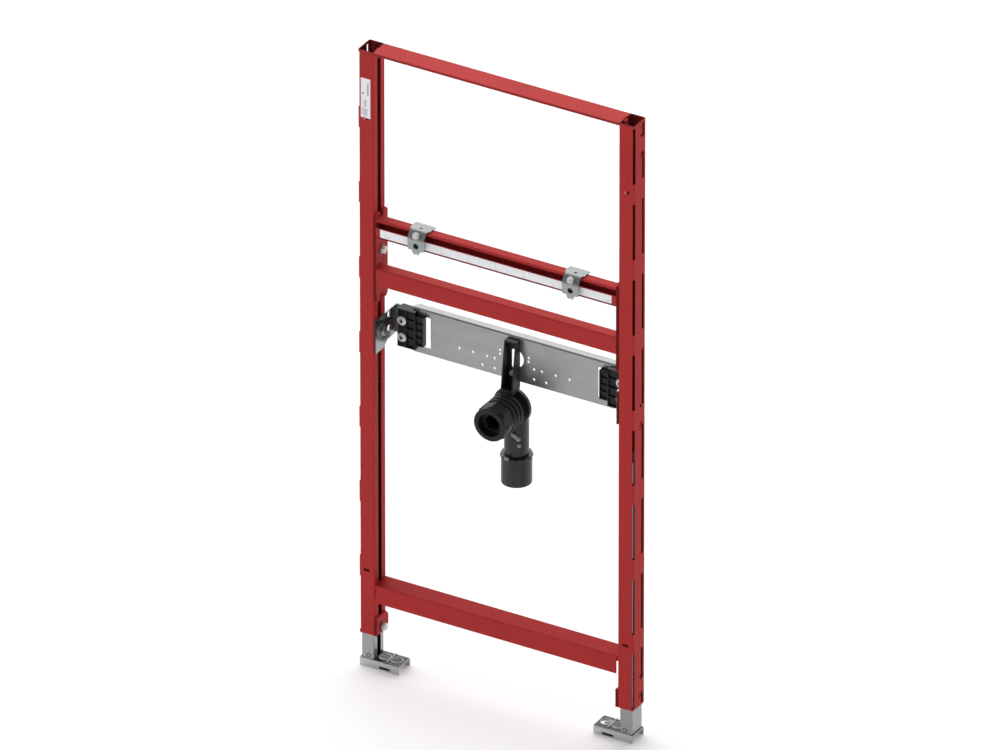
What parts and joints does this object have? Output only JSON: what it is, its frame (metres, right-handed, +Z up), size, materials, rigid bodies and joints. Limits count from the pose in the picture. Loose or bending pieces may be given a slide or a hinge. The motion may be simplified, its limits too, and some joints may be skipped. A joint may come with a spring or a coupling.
{
  "type": "washbasin installation frame",
  "caption": "Red steel washbasin installation frame with telescoping feet, sliding basin clamps, tap plate and waste outlet.",
  "frame": {"origin": "on the floor, at the middle of the overall width and depth", "axes": "+X to the right seen from the front, +Y to the wall behind, +Z up"},
  "size_m": [0.5, 0.1134, 1.12],
  "materials": {
    "red_powder_coat": "satin powder coat",
    "galvanised_steel": "zinc coated",
    "black_plastic": "moulded satin",
    "black_rubber": "matt",
    "white_tape": "printed film"
  },
  "bodies": {
    "frame": {"left_upright": "red_powder_coat", "right_upright": "red_powder_coat", "top_rail": "red_powder_coat", "lower_rail": "red_powder_coat", "left_foot_clamp_plate": "red_powder_coat", "right_foot_clamp_plate": "red_powder_coat"},
    "basin_traverse": {"scale_rail": "red_powder_coat", "scale_tape": "white_tape", "middle_rail": "red_powder_coat", "left_end_plate": "red_powder_coat", "right_end_plate": "red_powder_coat"},
    "left_clamp": {"left_basin_clamp": "galvanised_steel"},
    "right_clamp": {"right_basin_clamp": "galvanised_steel"},
    "tap_traverse": {"tap_plate": "galvanised_steel", "left_plate_bracket": "galvanised_steel", "right_plate_bracket": "galvanised_steel", "left_damper_block": "black_rubber", "right_damper_block": "black_rubber", "outlet_arm": "black_plastic", "outlet_sleeve": "black_rubber", "outlet_elbow": "black_plastic", "outlet_nipple": "black_rubber", "outlet_coupling": "black_plastic"},
    "left_foot": {"left_foot_tube": "galvanised_steel", "left_foot_base": "galvanised_steel"},
    "right_foot": {"right_foot_tube": "galvanised_steel", "right_foot_base": "galvanised_steel"}
  },
  "joints": [
    {"name": "basin_traverse_slide", "type": "slide", "parent": "frame", "child": "basin_traverse", "axis": [0, 0, 1], "range_m": [-0.013, 0.28]},
    {"name": "left_clamp_slide", "type": "slide", "parent": "basin_traverse", "child": "left_clamp", "axis": [-1, 0, 0], "range_m": [-0.115, 0.05]},
    {"name": "right_clamp_slide", "type": "slide", "parent": "basin_traverse", "child": "right_clamp", "axis": [1, 0, 0], "range_m": [-0.115, 0.05]},
    {"name": "tap_traverse_slide", "type": "slide", "parent": "frame", "child": "tap_traverse", "axis": [0, 0, 1], "range_m": [-0.04, 0.013]},
    {"name": "left_foot_slide", "type": "slide", "parent": "frame", "child": "left_foot", "axis": [0, 0, -1], "range_m": [-0.04, 0.14]},
    {"name": "right_foot_slide", "type": "slide", "parent": "frame", "child": "right_foot", "axis": [0, 0, -1], "range_m": [-0.04, 0.14]}
  ]
}
